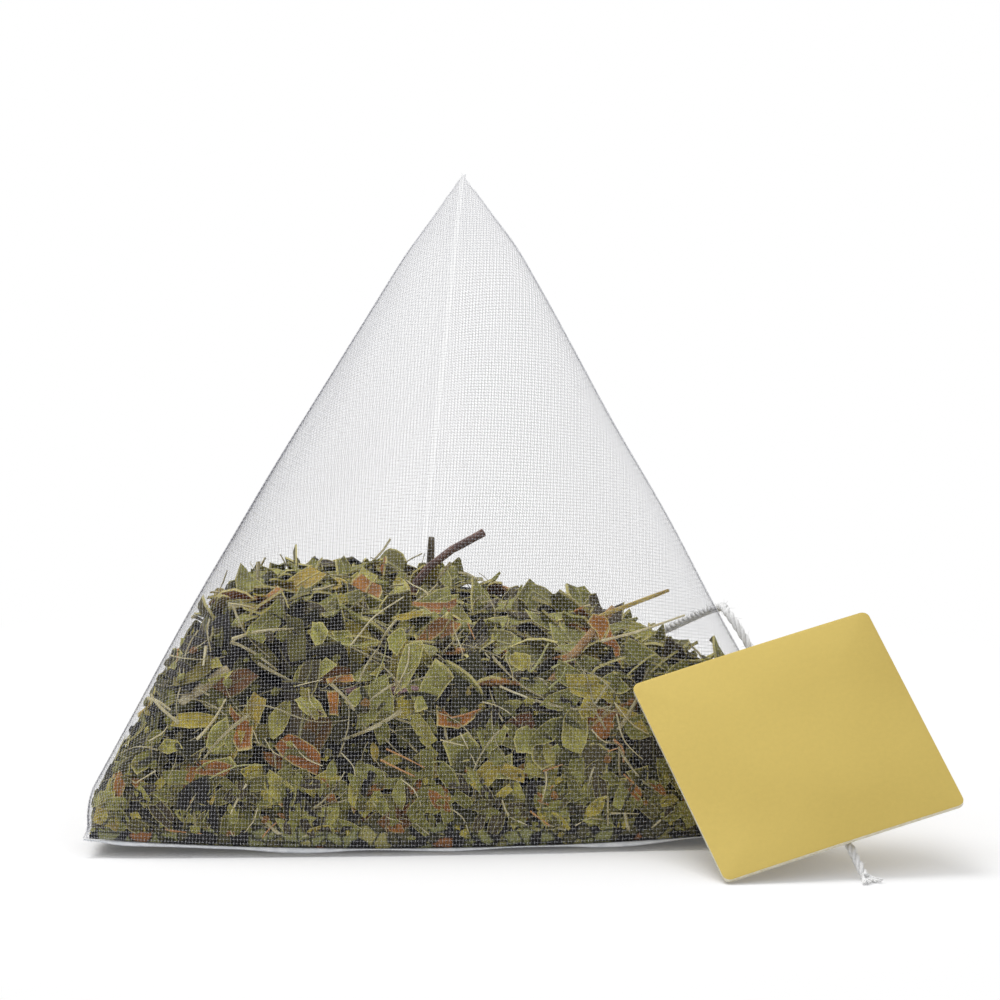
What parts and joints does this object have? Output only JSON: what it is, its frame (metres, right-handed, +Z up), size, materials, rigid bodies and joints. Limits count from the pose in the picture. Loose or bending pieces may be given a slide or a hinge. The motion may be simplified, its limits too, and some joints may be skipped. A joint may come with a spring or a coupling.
{
  "type": "pyramid tea bag",
  "caption": "Pyramid tea bag of clear woven mesh, filled with dried leaf, with a gold card tag on a cotton string.",
  "frame": {"origin": "on the ground under the middle of the pouch", "axes": "+X along the front bottom weld towards the tag, +Y towards the back corner, +Z up"},
  "size_m": [0.0682, 0.0726, 0.0501],
  "materials": {
    "woven_mesh": "clear white monofilament mesh",
    "leaf_mix": "dried leaf, matte",
    "stem": "dried stems, matte",
    "cotton": "twisted white cotton",
    "gold_card": "satin gold print"
  },
  "bodies": {
    "root": {"leaf_01": "leaf_mix", "leaf_02": "leaf_mix", "leaf_03": "leaf_mix", "leaf_04": "leaf_mix", "leaf_05": "leaf_mix", "leaf_06": "leaf_mix", "leaf_07": "leaf_mix", "leaf_08": "leaf_mix", "leaf_09": "leaf_mix", "leaf_10": "leaf_mix", "leaf_11": "leaf_mix", "leaf_12": "leaf_mix", "leaf_13": "leaf_mix", "leaf_14": "leaf_mix", "leaf_15": "leaf_mix", "leaf_16": "leaf_mix", "leaf_17": "leaf_mix", "leaf_18": "leaf_mix", "leaf_19": "leaf_mix", "leaf_20": "leaf_mix", "leaf_21": "leaf_mix", "leaf_22": "leaf_mix", "leaf_heap": "leaf_mix", "mesh_pouch": "woven_mesh", "stem_cream_stalk": "stem", "stem_curved_twig": "stem", "stem_long_twig": "stem", "stem_purple": "stem", "stem_upright": "stem", "stem_yellow": "stem", "string": "cotton", "tag_card": "gold_card"}
  },
  "joints": []
}
